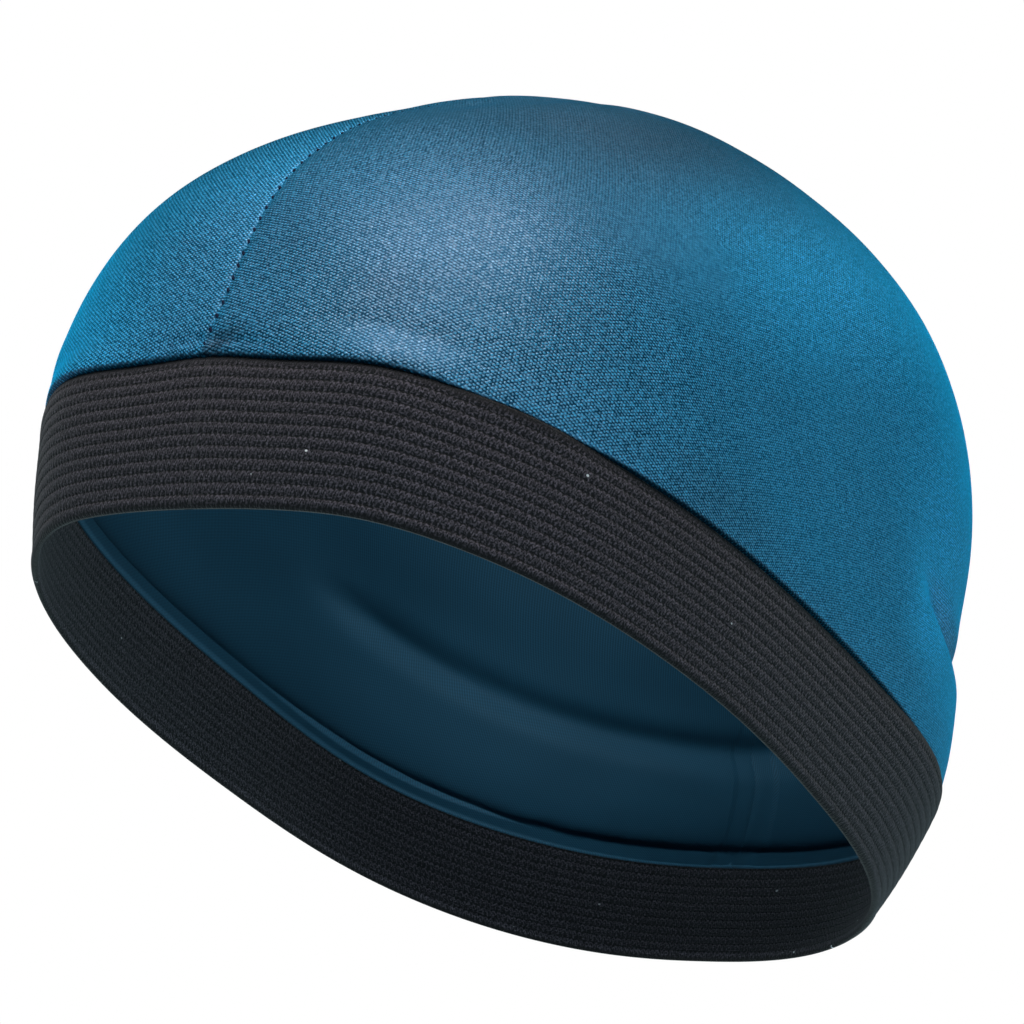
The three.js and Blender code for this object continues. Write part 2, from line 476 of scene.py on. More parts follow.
def mesh_object(name: str, points: np.ndarray, faces: Faces, cloth: np.ndarray) -> bpy.types.Object:
    """Makes a smooth-shaded mesh object.

    Args:
        name: the object's name.
        points: vertices in millimetres, one a row.
        faces: vertex numbers of each face.
        cloth: each vertex's place in the flat cloth, three numbers a row.

    Returns:
        The object, linked to the scene.
    """
    mesh = bpy.data.meshes.new(name)
    mesh.from_pydata((points * MM).tolist(), [], faces)
    attribute = mesh.attributes.new(CLOTH, "FLOAT_VECTOR", "POINT")
    attribute.data.foreach_set("vector", np.asarray(cloth, np.float32).ravel())
    mesh.polygons.foreach_set("use_smooth", np.ones(len(mesh.polygons), bool))
    mesh.update()
    obj = bpy.data.objects.new(name, mesh)
    bpy.context.scene.collection.objects.link(obj)
    return obj


def triangles_of(obj: bpy.types.Object) -> int:
    """Number of triangles that a mesh object's faces make."""
    return sum(len(face.vertices) - 2 for face in obj.data.polygons)


def fine_over_coarse(fine: np.ndarray, coarse: np.ndarray, turned: bool) -> Faces:
    """Closes the gap between two rows of vertices that run side by side.

    Args:
        fine: vertex numbers of one row.
        coarse: vertex numbers of the other, a whole number of times fewer steps.
        turned: turn the faces over.

    Returns:
        One face for each step of the coarse row.
    """
    step = (len(fine) - 1) // (len(coarse) - 1)
    faces = []
    for k in range(len(coarse) - 1):
        face = [*fine[k * step : (k + 1) * step + 1].tolist(), int(coarse[k + 1]), int(coarse[k])]
        face = [v for n, v in enumerate(face) if v != face[n - 1]]
        if len(face) > 2:
            faces.append(face[::-1] if turned else face)
    return faces


def grid_faces(grid: np.ndarray, turned: bool) -> Faces:
    """Faces between the rows and columns of a grid of vertex numbers.

    Args:
        grid: vertex numbers; a row that repeats one vertex makes triangles.
        turned: turn the faces over.

    Returns:
        Vertex numbers of each face.
    """
    corners = np.stack([grid[:-1, :-1], grid[1:, :-1], grid[1:, 1:], grid[:-1, 1:]], -1).reshape(-1, 4)
    if turned:
        corners = corners[:, ::-1]
    faces = []
    for a, b, c, d in corners.tolist():
        if a == d:
            faces.append([a, b, c])
        elif b == c:
            faces.append([a, b, d])
        else:
            faces.append([a, b, c, d])
    return faces


class Nodes:
    """Short words for building the nodes of a material or the world."""

    def __init__(self, tree: bpy.types.NodeTree) -> None:
        """Empties a node tree and works on it."""
        self.tree = tree
        tree.nodes.clear()

    def add(self, kind: str, **settings: object) -> bpy.types.Node:
        """Adds a node of a kind with its settings.

        Args:
            kind: Blender's name of the node.
            settings: the node's own settings.

        Returns:
            The node.
        """
        node = self.tree.nodes.new(kind)
        for key, value in settings.items():
            setattr(node, key, value)
        return node

    def feed(self, socket: Socket, value: object) -> None:
        """Links a socket to an output, or sets it to a constant.

        Args:
            socket: input of a node.
            value: output of another node, or a constant.
        """
        if isinstance(value, Socket):
            self.tree.links.new(value, socket)
        else:
            socket.default_value = value

    def fill(self, node: bpy.types.Node, values: dict[str, object]) -> None:
        """Feeds a node's sockets by name."""
        for name, value in values.items():
            self.feed(node.inputs[name], value)

    def math(self, operation: str, *values: object) -> Socket:
        """Result of a Math node on one to three values.

        Args:
            operation: what it works out.
            values: outputs of nodes, or numbers.

        Returns:
            The node's output.
        """
        node = self.add("ShaderNodeMath", operation=operation)
        for socket, value in zip(node.inputs, values):
            self.feed(socket, value)
        return node.outputs[0]

    def apart(self, a: Socket, b: object) -> Socket:
        """Distance between two values."""
        return self.math("ABSOLUTE", self.math("SUBTRACT", a, b))

    def from_whole(self, value: Socket) -> Socket:
        """Distance of a value from the nearest whole number."""
        return self.apart(self.math("FRACT", self.math("ADD", value, 0.5)), 0.5)

    def along(self, vector: Socket, direction: Triple) -> Socket:
        """Dot product of a vector and a constant direction.

        Args:
            vector: output with a vector.
            direction: the constant.

        Returns:
            The node's output.
        """
        node = self.add("ShaderNodeVectorMath", operation="DOT_PRODUCT")
        self.feed(node.inputs[0], vector)
        self.feed(node.inputs[1], direction)
        return node.outputs["Value"]

    def vector(self, operation: str, a: object, b: object) -> Socket:
        """Result of a Vector Math node on two vectors.

        Args:
            operation: what it works out.
            a: the first vector.
            b: the second vector.

        Returns:
            The node's output.
        """
        node = self.add("ShaderNodeVectorMath", operation=operation)
        self.feed(node.inputs[0], a)
        self.feed(node.inputs[1], b)
        return node.outputs["Vector"]

    def span(self, value: object, low: float, high: float, start: float = 0.0, end: float = 1.0) -> Socket:
        """A value carried smoothly from the range low to high over to the range start to end.

        Args:
            value: the value to carry over.
            low, high: where the result is start, and where it is end.
            start, end: range of the result.

        Returns:
            The node's output.
        """
        node = self.add("ShaderNodeMapRange", interpolation_type="SMOOTHSTEP")
        for socket, number in zip(node.inputs, (value, low, high, start, end)):
            self.feed(socket, number)
        return node.outputs[0]

    def mix(self, factor: object, a: object, b: object) -> Socket:
        """Colour a mixed towards colour b.

        Args:
            factor: share of b.
            a: the first colour.
            b: the second colour.

        Returns:
            The node's output.
        """
        node = self.add("ShaderNodeMix", data_type="RGBA")
        self.feed(node.inputs[0], factor)
        self.feed(node.inputs[MIX_A], a)
        self.feed(node.inputs[MIX_B], b)
        return node.outputs[MIX_RESULT]

    def noise(self, vector: Socket, rate: float | Triple, detail: float = 2.0) -> bpy.types.Node:
        """A noise texture.

        Args:
            vector: the place that it is read at.
            rate: waves for each unit of the vector, one for all directions or one for each.
            detail: how many finer waves it has.

        Returns:
            The node.
        """
        if isinstance(rate, tuple):
            vector = self.vector("MULTIPLY", vector, rate)
            rate = 1.0
        node = self.add("ShaderNodeTexNoise")
        self.fill(node, {"Vector": vector, "Scale": rate, "Detail": detail})
        return node

    def strayed(self, place: Socket, rate: float, reach: Triple) -> Socket:
        """A place moved at random, but smoothly, within a reach along each axis."""
        offset = self.vector("SUBTRACT", self.noise(place, rate).outputs["Color"], (0.5, 0.5, 0.5))
        return self.vector("ADD", place, self.vector("MULTIPLY", offset, reach))

    def bump(self, shader: bpy.types.Node, height: Socket, strength: float, depth: float) -> None:
        """Raises a shader's surface by a height of 0 to 1, times a depth in millimetres.

        Args:
            shader: the material's shader.
            height: output with the height.
            strength: how strongly the relief shows.
            depth: depth that a height of 1 stands for.
        """
        node = self.add("ShaderNodeBump")
        self.fill(node, {"Strength": strength, "Distance": depth * MM, "Height": height})
        self.feed(shader.inputs["Normal"], node.outputs[0])


def shaded_material(name: str) -> tuple[bpy.types.Material, Nodes, bpy.types.Node]:
    """Starts a material.

    Args:
        name: the material's name.

    Returns:
        The material, its nodes and its shader.
    """
    material = bpy.data.materials.new(name)
    material.use_nodes = True
    nodes = Nodes(material.node_tree)
    shader = nodes.add("ShaderNodeBsdfPrincipled")
    output = nodes.add("ShaderNodeOutputMaterial")
    nodes.feed(output.inputs["Surface"], shader.outputs[0])
    return material, nodes, shader


def cloth_material(name: str) -> tuple[bpy.types.Material, Nodes, bpy.types.Node, Socket]:
    """Starts a cloth material.

    Args:
        name: the material's name.

    Returns:
        The material, its nodes, its shader and each point's place in the cloth.
    """
    material, nodes, shader = shaded_material(name)
    cloth = nodes.add("ShaderNodeAttribute", attribute_name=CLOTH).outputs["Vector"]
    return material, nodes, shader, cloth


@dataclass(frozen=True)
class PaintedLightPatch:
    """A soft patch of painted light that brightens the satin's colour, or of painted shade that darkens it
    where its strength is below zero.

    Attributes:
        back, up: its middle in the flat cloth.
        reach_back, reach_up: how far it fades out.
        strength: what it adds to the colour's brightness.
    """

    back: float
    up: float
    reach_back: float
    reach_up: float
    strength: float

    def amount(self, nodes: Nodes, cloth: Socket) -> Socket:
        """What the patch adds at each place of the cloth.

        Args:
            nodes: the material's nodes.
            cloth: place in the cloth in millimetres.

        Returns:
            A socket with the amount.
        """
        offset = nodes.vector("SUBTRACT", cloth, (self.back, self.up, 0.0))
        offset = nodes.vector("MULTIPLY", offset, (1.0 / self.reach_back, 1.0 / self.reach_up, 0.0))
        length = nodes.add("ShaderNodeVectorMath", operation="LENGTH")
        nodes.feed(length.inputs[0], offset)
        return nodes.span(length.outputs["Value"], 0.0, 1.0, self.strength, 0.0)


@dataclass(frozen=True)
class SatinFinish:
    """Stretch satin: a six-way lattice of tiny bright loops over darker ground.

    A rate is the waves of a noise for each millimetre. A pair that ends in _at holds the two
    heights of the lattice between which something comes in.

    Attributes:
        name: the material's name.
        loop, flank, ground, edge: colours of the loops, of their flanks, of the gaps, and of the painted
            shadow along the satin's edge at the seam with the band.
        pitch, bearing: spacing of the first two families of lattice lines and their directions.
        weights: how strongly the two families and the one between them show.
        stagger, stagger_rate: how far the loops stray from the lattice.
        grain, grain_rate: how unevenly the yarn lies from point to point.
        loop_at, flank_at, swell_at, dull_at: of the loops, their flanks, the rise of the cloth
            under them, and the gaps that lose their shine.
        dullness: how much of it the gaps lose.
        row_rate, row_least: rows of loops differ a little in brightness, down to this share.
        edge_over, edge_shade: heights over the band where the painted shadow of the edge begins, and its
            strength.
        relief: strength of the surface's relief, and its height.
        loop_rise, swell_rise: shares that the loops and the cloth under them have in that height.
        roughness, rough_to: of the gaps and of the loops, and the strength at which a loop has it.
        index, tint, sheen, sheen_roughness, sheen_tint: of the surface.
        depth: brightness of the dye outside the patches; the right panel's higher depth is painted light.
        cloud, cloud_rate: how much the dye's brightness wanders.
        painted_light_patches: soft patches of painted light and painted shade on the dye.
    """

    name: str
    loop: Colour = (0.060, 0.530, 0.930, 1.0)
    flank: Colour = (0.003, 0.200, 0.380, 1.0)
    ground: Colour = (0.0006, 0.080, 0.165, 1.0)
    edge: Colour = (0.0004, 0.006, 0.014, 1.0)
    pitch: Pair = (0.61, 0.56)
    bearing: Pair = (145.0, 25.0)
    weights: Triple = (0.45, 1.0, 0.75)
    stagger: float = 0.18
    stagger_rate: float = 1.1
    grain: float = 1.1
    grain_rate: float = 1.5
    loop_at: Pair = (0.15, 0.95)
    flank_at: Pair = (-0.5, 0.2)
    swell_at: Pair = (-0.45, 0.5)
    dull_at: Pair = (0.1, -0.45)
    dullness: float = 0.88
    row_rate: Triple = (0.10, 0.9, 0.0)
    row_least: float = 0.7
    edge_over: Pair = (0.6, 0.05)
    edge_shade: float = 0.93
    relief: Pair = (1.0, 0.10)
    loop_rise: float = 0.6
    swell_rise: float = 0.4
    roughness: Pair = (0.50, 0.31)
    rough_to: float = 0.7
    index: float = 2.1
    tint: Colour = (0.80, 0.84, 1.0, 1.0)
    sheen: float = 1.0
    sheen_roughness: float = 0.35
    sheen_tint: Colour = (0.0, 0.54, 1.0, 1.0)
    depth: float = 0.93
    cloud: float = 0.06
    cloud_rate: float = 0.028
    # Painted light and shade on the left panel: patches brighten its side towards the back and the cloth
    # above the crease there, and darken its top, the cloth in and under the highlight, a patch low on the
    # side, and the cloth beside the seam's foot as the shadow of a fold.
    painted_light_patches: tuple[PaintedLightPatch, ...] = (
        PaintedLightPatch(back=52, up=13, reach_back=70, reach_up=38, strength=0.84),
        PaintedLightPatch(back=90, up=-52, reach_back=36, reach_up=50, strength=0.88),
        PaintedLightPatch(back=28, up=52, reach_back=72, reach_up=42, strength=-0.56),
        PaintedLightPatch(back=-46, up=20, reach_back=56, reach_up=42, strength=-0.32),
        PaintedLightPatch(back=-10, up=-42, reach_back=40, reach_up=24, strength=-0.15),
        PaintedLightPatch(back=76, up=-71, reach_back=20, reach_up=14, strength=0.6),
        PaintedLightPatch(back=-84.5, up=28.5, reach_back=7, reach_up=3.5, strength=-0.55),
        PaintedLightPatch(back=-60, up=17, reach_back=14, reach_up=11, strength=-0.12),
        PaintedLightPatch(back=-59, up=4.5, reach_back=14, reach_up=8, strength=-0.1),
    )

    def lattice(self, nodes: Nodes, place: Socket) -> Socket:
        """Height of the lattice of loops, 1 on a loop and about -0.5 in the gaps.

        Args:
            nodes: the material's nodes.
            place: place in the cloth in millimetres.

        Returns:
            A socket with the height.
        """
        waves = []
        for pitch, bearing in zip(self.pitch, self.bearing):
            turn = math.radians(bearing)
            rate = 2.0 * math.pi / pitch
            waves.append(nodes.along(place, (rate * math.cos(turn), rate * math.sin(turn), 0.0)))
        waves.append(nodes.math("ADD", *waves))
        total = None
        for weight, wave in zip(self.weights, waves):
            part = nodes.math("MULTIPLY", nodes.math("COSINE", wave), weight / sum(self.weights))
            total = part if total is None else nodes.math("ADD", total, part)
        return total

    def brightness(self, nodes: Nodes, cloth: Socket) -> Socket:
        """Brightness of the dye at each place of the cloth with its patches of painted light and shade,
        the same for all three colours.

        Args:
            nodes: the material's nodes.
            cloth: place in the cloth in millimetres.

        Returns:
            A socket with a vector to multiply a colour by.
        """
        cloud = nodes.noise(cloth, self.cloud_rate, detail=3.0).outputs[0]
        bright = nodes.span(cloud, *NOISE_RANGE, -self.cloud, self.cloud)
        bright = nodes.math("ADD", bright, self.depth)
        # Painted light and painted shade from the patches.
        for painted_patch in self.painted_light_patches:
            bright = nodes.math("ADD", bright, painted_patch.amount(nodes, cloth))
        level = nodes.add("ShaderNodeCombineXYZ")
        for socket in level.inputs:
            nodes.feed(socket, bright)
        return level.outputs[0]

    def make(self) -> bpy.types.Material:
        """Makes the material.

        Returns:
            The material, with its nodes.
        """
        material, nodes, shader, cloth = cloth_material(self.name)
        reach = 2.0 * self.stagger
        place = nodes.strayed(cloth, self.stagger_rate, (reach, reach, reach))
        grain = nodes.math("SUBTRACT", nodes.noise(cloth, self.grain_rate, detail=1.0).outputs[0], 0.5)
        height = nodes.math("MULTIPLY_ADD", grain, 2.0 * self.grain, self.lattice(nodes, place))
        rows = nodes.noise(cloth, self.row_rate, detail=1.0).outputs[0]
        row = nodes.span(rows, *NOISE_RANGE, self.row_least, 1.0)
        loops = nodes.math("MULTIPLY", nodes.span(height, *self.loop_at), row)
        colour = nodes.mix(nodes.span(height, *self.flank_at), self.ground, self.flank)
        colour = nodes.mix(loops, colour, self.loop)
        # Painted shadow: just over the band the satin darkens to the edge colour, where it tucks in under
        # its lip.
        edge = nodes.span(nodes.along(cloth, (0.0, 0.0, 1.0)), *self.edge_over)
        colour = nodes.mix(nodes.math("MULTIPLY", edge, self.edge_shade), colour, self.edge)
        # Neither the gaps between the loops nor the edge at the band shine.
        dull = nodes.span(height, *self.dull_at, 0.0, self.dullness)
        surface = {
            "Base Color": nodes.vector("MULTIPLY", colour, self.brightness(nodes, cloth)),
            "Metallic": nodes.math("MAXIMUM", edge, dull),
            "Roughness": nodes.span(loops, 0.0, self.rough_to, *self.roughness),
            "IOR": self.index,
            "Specular Tint": self.tint,
            "Sheen Weight": self.sheen,
            "Sheen Roughness": self.sheen_roughness,
            "Sheen Tint": self.sheen_tint,
        }
        nodes.fill(shader, surface)
        swell = nodes.span(height, *self.swell_at, 0.0, self.swell_rise)
        nodes.bump(shader, nodes.math("MULTIPLY_ADD", loops, self.loop_rise, swell), *self.relief)
        return material


@dataclass(frozen=True)
class ReverseFinish:
    """The dull reverse of the satin: fine wales without the bright loops.

    Attributes:
        name: the material's name.
        high, low: colours of the wales and between them.
        pitch: spacing of the wales.
        course_rate, course_share: courses for each wale, and how strongly they show beside it.
        cloud_rate, cloud_least: waves in which the colour fades, and the share that stays.
        roughness: of the surface.
        relief: strength of its relief, and its height.
    """

    name: str = "satin_reverse"
    high: Colour = (0.010, 0.085, 0.150, 1.0)
    low: Colour = (0.004, 0.040, 0.075, 1.0)
    pitch: float = 0.62
    course_rate: float = 0.8
    course_share: float = 0.4
    cloud_rate: float = 0.05
    cloud_least: float = 0.8
    roughness: float = 0.75
    relief: Pair = (0.5, 0.04)

    def make(self) -> bpy.types.Material:
        """Makes the material.

        Returns:
            The material, with its nodes.
        """
        material, nodes, shader, cloth = cloth_material(self.name)
        rate = 2.0 * math.pi / self.pitch
        wales = nodes.math("COSINE", nodes.along(cloth, (rate, 0.0, 0.0)))
        courses = nodes.math("COSINE", nodes.along(cloth, (0.0, rate * self.course_rate, 0.0)))
        courses = nodes.math("MULTIPLY", courses, self.course_share)
        highest = 1.0 + self.course_share
        height = nodes.span(nodes.math("ADD", wales, courses), -highest, highest)
        cloud = nodes.noise(cloth, self.cloud_rate, detail=3.0).outputs[0]
        soft = nodes.span(cloud, *NOISE_RANGE, self.cloud_least, 1.0)
        colour = nodes.mix(nodes.math("MULTIPLY", height, soft), self.low, self.high)
        nodes.fill(shader, {"Base Color": colour, "Roughness": self.roughness})
        nodes.bump(shader, height, *self.relief)
        return material


@dataclass(frozen=True)
class KnitFinish:
    """Knitted elastic: a row of small hooked loops on each rib, with pits in the grooves painted darker
    than the black yarn as shade.

    Places are counted in stitches round the band and in ribs up it. A pair that ends in _at
    holds the two values between which something comes in.

    Attributes:
        name: the material's name.
        yarn, shade, pit, lint: colours of the yarn's strokes, between them, of the painted shade in the
            pits and on the rims, and of lint.
        stroke: width of a stroke, as a share of a rib.
        arch, arch_edges: height in the rib of a loop's top and how it falls off to the sides, and
            the edges of its stroke in widths.
        leg, leg_edges: slope of a loop's leg and where it begins, and the edges of its stroke.
        leg_top, leg_light: heights in the rib where the leg runs out, and its brightness.
        pit_length, pit_at: how much longer than high a pit is, and its edges.
        groove_at, groove_shade: the thin line of painted shade along each groove, and its strength.
        stray, stray_rate: how far the yarn strays.
        tuft_rate, tuft_at, tuft_least: patches of the yarn that lie deeper and look darker.
        fuzz_rate, loose_at: loose fibres.
        tight_at, pit_least: where fibres cover the pits, and the share of a pit that they leave.
        stroke_light, loose_light: brightness of the strokes and of loose fibres.
        last_rib: number of ribs.
        lower_rim, upper_rim, rim_shade: ribs from the lower and from the upper edge where the painted
            shade of the rims comes in, and its strength.
        speck_rate, speck_chosen, speck_at: cells for lint, which of them hold it, and its size.
        relief: strength of the surface's relief, and its height.
        roughness, gloss, sheen, sheen_roughness: of the surface.
    """

    name: str = "knitted_elastic"
    yarn: Colour = (0.110, 0.092, 0.114, 1.0)
    shade: Colour = (0.0042, 0.0040, 0.0056, 1.0)
    pit: Colour = (0.001, 0.001, 0.0015, 1.0)
    lint: Colour = (0.65, 0.66, 0.68, 1.0)
    stroke: float = 0.30
    arch: Pair = (0.84, -1.5)
    arch_edges: Pair = (0.5, 0.15)
    leg: Pair = (0.7, -0.30)
    leg_edges: Pair = (0.8, 0.2)
    leg_top: Pair = (0.74, 0.64)
    leg_light: float = 0.7
    pit_length: float = 1.9
    pit_at: Pair = (0.42, 0.14)
    groove_at: Pair = (0.12, 0.03)
    groove_shade: float = 0.6
    stray: Triple = (0.8, 0.22, 0.0)
    stray_rate: float = 1.3
    tuft_rate: Triple = (1.6, 2.4, 0.0)
    tuft_at: Pair = (0.34, 0.66)
    tuft_least: float = 0.3
    fuzz_rate: Triple = (2.6, 5.6, 0.0)
    loose_at: Pair = (0.5, 0.75)
    tight_at: Pair = (0.65, 0.45)
    pit_least: float = 0.5
    stroke_light: float = 0.7
    loose_light: float = 0.5
    last_rib: float = 13.0
    lower_rim: Pair = (0.5, 0.1)
    upper_rim: Pair = (0.9, 0.2)
    rim_shade: float = 0.9
    speck_rate: Triple = (0.5, 1.1, 0.0)
    speck_chosen: Pair = (0.987, 0.99)
    speck_at: Pair = (0.17, 0.08)
    relief: Pair = (0.8, 0.12)
    roughness: float = 0.8
    gloss: float = 0.2
    sheen: float = 0.12
    sheen_roughness: float = 0.5

    def line(self, nodes: Nodes, off: Socket, edges: Pair) -> Socket:
        """Brightness of a stroke at a distance from its middle, with edges in stroke widths."""
        return nodes.span(off, self.stroke * edges[0], self.stroke * edges[1])

    def strokes(self, nodes: Nodes, place: Socket) -> tuple[Socket, Socket]:
        """The hooked loops and the pits.

        Args:
            nodes: the material's nodes.
            place: stitches round the band and ribs up it.

        Returns:
            The brightness of the strokes and the depth of the pits, from 0 to 1.
        """
        stitch = nodes.along(place, (1.0, 0.0, 0.0))
        rib = nodes.along(place, (0.0, 1.0, 0.0))
        up = nodes.math("FRACT", rib)
        aside = nodes.math("SUBTRACT", nodes.math("FRACT", stitch), 0.5)
        height, fall = self.arch
        top = nodes.math("MULTIPLY_ADD", nodes.math("MULTIPLY", aside, aside), fall, height)
        arch = self.line(nodes, nodes.apart(up, top), self.arch_edges)
        lean = nodes.math("MULTIPLY_ADD", up, *self.leg)
        leg = self.line(nodes, nodes.apart(aside, lean), self.leg_edges)
        leg = nodes.math("MULTIPLY", leg, nodes.span(up, *self.leg_top))
        bright = nodes.math("MAXIMUM", arch, nodes.math("MULTIPLY", leg, self.leg_light))
        groove = nodes.from_whole(rib)
        between = nodes.from_whole(stitch)
        far = nodes.math("MULTIPLY", groove, self.pit_length)
        squares = nodes.math("MULTIPLY", far, far), nodes.math("MULTIPLY", between, between)
        pits = nodes.span(nodes.math("SQRT", nodes.math("ADD", *squares)), *self.pit_at)
        line = nodes.math("MULTIPLY", nodes.span(groove, *self.groove_at), self.groove_shade)
        return bright, nodes.math("MAXIMUM", pits, line)

    def painted_rim_shade(self, nodes: Nodes, cloth: Socket) -> Socket:
        """Painted shade along the lower edge of the band, which faces down, and along the upper edge,
        under the satin's lip.

        Args:
            nodes: the material's nodes.
            cloth: stitches round the band and ribs up it.

        Returns:
            A socket with the shade, from 0 to 1.
        """
        rib = nodes.along(cloth, (0.0, 1.0, 0.0))
        begins, ends = self.upper_rim
        upper = nodes.span(rib, self.last_rib - begins, self.last_rib - ends)
        painted_rim_shade = nodes.math("MAXIMUM", nodes.span(rib, *self.lower_rim), upper)
        return nodes.math("MULTIPLY", painted_rim_shade, self.rim_shade)

    def specks(self, nodes: Nodes, cloth: Socket) -> Socket:
        """A few specks of lint.

        Args:
            nodes: the material's nodes.
            cloth: stitches round the band and ribs up it.

        Returns:
            A socket that is 1 on a speck.
        """
        cells = nodes.add("ShaderNodeTexVoronoi", feature="F1")
        nodes.fill(cells, {"Vector": nodes.vector("MULTIPLY", cloth, self.speck_rate), "Scale": 1.0})
        chosen = nodes.span(nodes.along(cells.outputs["Color"], (1.0, 0.0, 0.0)), *self.speck_chosen)
        return nodes.math("MULTIPLY", chosen, nodes.span(cells.outputs["Distance"], *self.speck_at))

    def make(self) -> bpy.types.Material:
        """Makes the material.

        Returns:
            The material, with its nodes.
        """
        material, nodes, shader, cloth = cloth_material(self.name)
        bright, pits = self.strokes(nodes, nodes.strayed(cloth, self.stray_rate, self.stray))
        tufts = nodes.noise(cloth, self.tuft_rate).outputs[0]
        bright = nodes.math("MULTIPLY", bright, nodes.span(tufts, *self.tuft_at, self.tuft_least, 1.0))
        fuzz = nodes.noise(cloth, self.fuzz_rate, detail=0.0).outputs[0]
        loose = nodes.math("MULTIPLY", nodes.span(fuzz, *self.loose_at), self.loose_light)
        bright = nodes.math("MULTIPLY_ADD", bright, self.stroke_light, loose)
        pits = nodes.math("MULTIPLY", pits, nodes.span(fuzz, *self.tight_at, self.pit_least, 1.0))
        colour = nodes.mix(bright, self.shade, self.yarn)
        # Painted shade: the pits and the line along each groove darken towards the pit colour.
        colour = nodes.mix(pits, colour, self.pit)
        # Painted shade: the band's lower and upper rims darken towards the pit colour.
        colour = nodes.mix(self.painted_rim_shade(nodes, cloth), colour, self.pit)
        colour = nodes.mix(self.specks(nodes, cloth), colour, self.lint)
        surface = {
            "Base Color": colour,
            "Roughness": self.roughness,
            "Specular IOR Level": self.gloss,
            "Sheen Weight": self.sheen,
            "Sheen Roughness": self.sheen_roughness,
        }
        nodes.fill(shader, surface)
        nodes.bump(shader, nodes.math("SUBTRACT", bright, pits), *self.relief)
        return material


@dataclass(frozen=True)
class ThreadFinish:
    """Dark twisted sewing thread.

    Attributes:
        name: the material's name.
        light, dark: colours on a ply and between two.
        twist: length of a turn of the plies.
        roughness, gloss: of the surface.
        relief: strength of its relief, and its height.
    """

    name: str = "sewing_thread"
    light: Colour = (0.008, 0.018, 0.060, 1.0)
    dark: Colour = (0.001, 0.003, 0.014, 1.0)
    twist: float = 0.35
    roughness: float = 0.7
    gloss: float = 0.15
    relief: Pair = (0.6, 0.05)

    def make(self) -> bpy.types.Material:
        """Makes the material.

        Returns:
            The material, with its nodes.
        """
        material, nodes, shader, cloth = cloth_material(self.name)
        rate = 2.0 * math.pi / self.twist
        ply = nodes.math("SINE", nodes.along(cloth, (rate, 2.0 * math.pi, 0.0)))
        height = nodes.span(ply, -1.0, 1.0)
        surface = {
            "Base Color": nodes.mix(height, self.dark, self.light),
            "Roughness": self.roughness,
            "Specular IOR Level": self.gloss,
        }
        nodes.fill(shader, surface)
        nodes.bump(shader, height, *self.relief)
        return material


@dataclass
class CrownGrid:
    """Grid over half of the dome form that both crown panels share.

    Its lines turn about the line from the front end of the seam to the back end: the first is
    the seam and the last the hem's lower edge. They are close where the satin is folded.

    Attributes:
        form, opening: what the grid lies on.
        hem_depth: hem turned down behind the band.
        foot_pull, foot_height, foot_reach: how far the foot of the seam is pulled aside, and the
            height and the distance in which that runs out.
        along, across: ends of stretches in degrees and their numbers of steps, all even.
        along_lines, across_lines: the lines that these give.
        start: the middle of the line that the grid turns about.
        directions, reach, points: from there to each point of the form, and the points.
        turn, over: place of each point round the opening and over the band.
        seam_length, travelled: length along the seam at each of its points, and at each of all.
    """

    form: DomeForm
    opening: Opening
    hem_depth: float = 4.0
    foot_pull: float = -1.8
    foot_height: float = 11.0
    foot_reach: float = 5.0
    along: Stretches = ((20, 44), (140, 140), (172, 72), (180, 26))
    across: Stretches = ((3, 20), (12, 20), (64, 66), (82, 34), (86.4, 8), (88.2, 14), (90, 4))

    def __post_init__(self) -> None:
        """Works out the lines, the directions and where they meet the form."""
        self.along_lines = grid_lines(self.along)
        self.across_lines = grid_lines(self.across)
        self.start = self.opening.up * (self.opening.height - self.hem_depth)
        a, c = np.meshgrid(np.radians(self.along_lines), np.radians(self.across_lines), indexing="ij")
        side = self.opening.up * np.cos(c)[..., None] + self.opening.left * np.sin(c)[..., None]
        facing = self.opening.forward * np.cos(a)[..., None] + side * np.sin(a)[..., None]
        self.directions = facing.reshape(-1, 3)
        self.reach = self.form.reach(self.start, self.directions)
        self.points = self.start + self.directions * self.reach[:, None]
        self.turn, self.over = self.opening.place(self.points)
        seam = self.points.reshape(*a.shape, 3)[:, 0]
        steps = np.linalg.norm(np.diff(seam, axis=0), axis=1)
        self.seam_length = np.concatenate([[0.0], np.cumsum(steps)])
        self.travelled = np.repeat(self.seam_length, len(self.across_lines))

    def foot_shift(self, points: np.ndarray) -> np.ndarray:
        """How far the foot of the seam is pulled aside, below zero towards the right.

        Args:
            points: points near the seam, one a row.

        Returns:
            The distance for each point.
        """
        _, over = self.opening.place(points)
        pulled = (1.0 - ease(over, 0.0, self.foot_height)) * (points @ self.opening.forward > 0.0)
        return self.foot_pull * pulled * bell(points[:, 0], self.foot_reach)

    def at_length(self, place: float, values: np.ndarray) -> np.ndarray:
        """Reads vectors that go with the seam's points at a length along the seam."""
        return np.array([np.interp(place, self.seam_length, column) for column in values.T])

    def numbers(self, step: int, first: int) -> tuple[np.ndarray, np.ndarray]:
        """Numbers the vertices of the grid, with a single vertex at each end.

        Args:
            step: use each line, or each second line.
            first: number of the first vertex.

        Returns:
            Vertex numbers by line, and which grid points they are.
        """
        rows = len(self.along_lines)
        columns = len(self.across_lines)
        source = np.arange(rows * columns).reshape(rows, columns)[::step, ::step]
        grid = np.zeros(source.shape, int)
        grid[1:-1] = np.arange(grid[1:-1].size).reshape(grid[1:-1].shape) + 1
        grid[-1] = grid[-2, -1] + 1
        used = np.concatenate([source[0, :1], source[1:-1].ravel(), source[-1, :1]])
        return grid + first, used


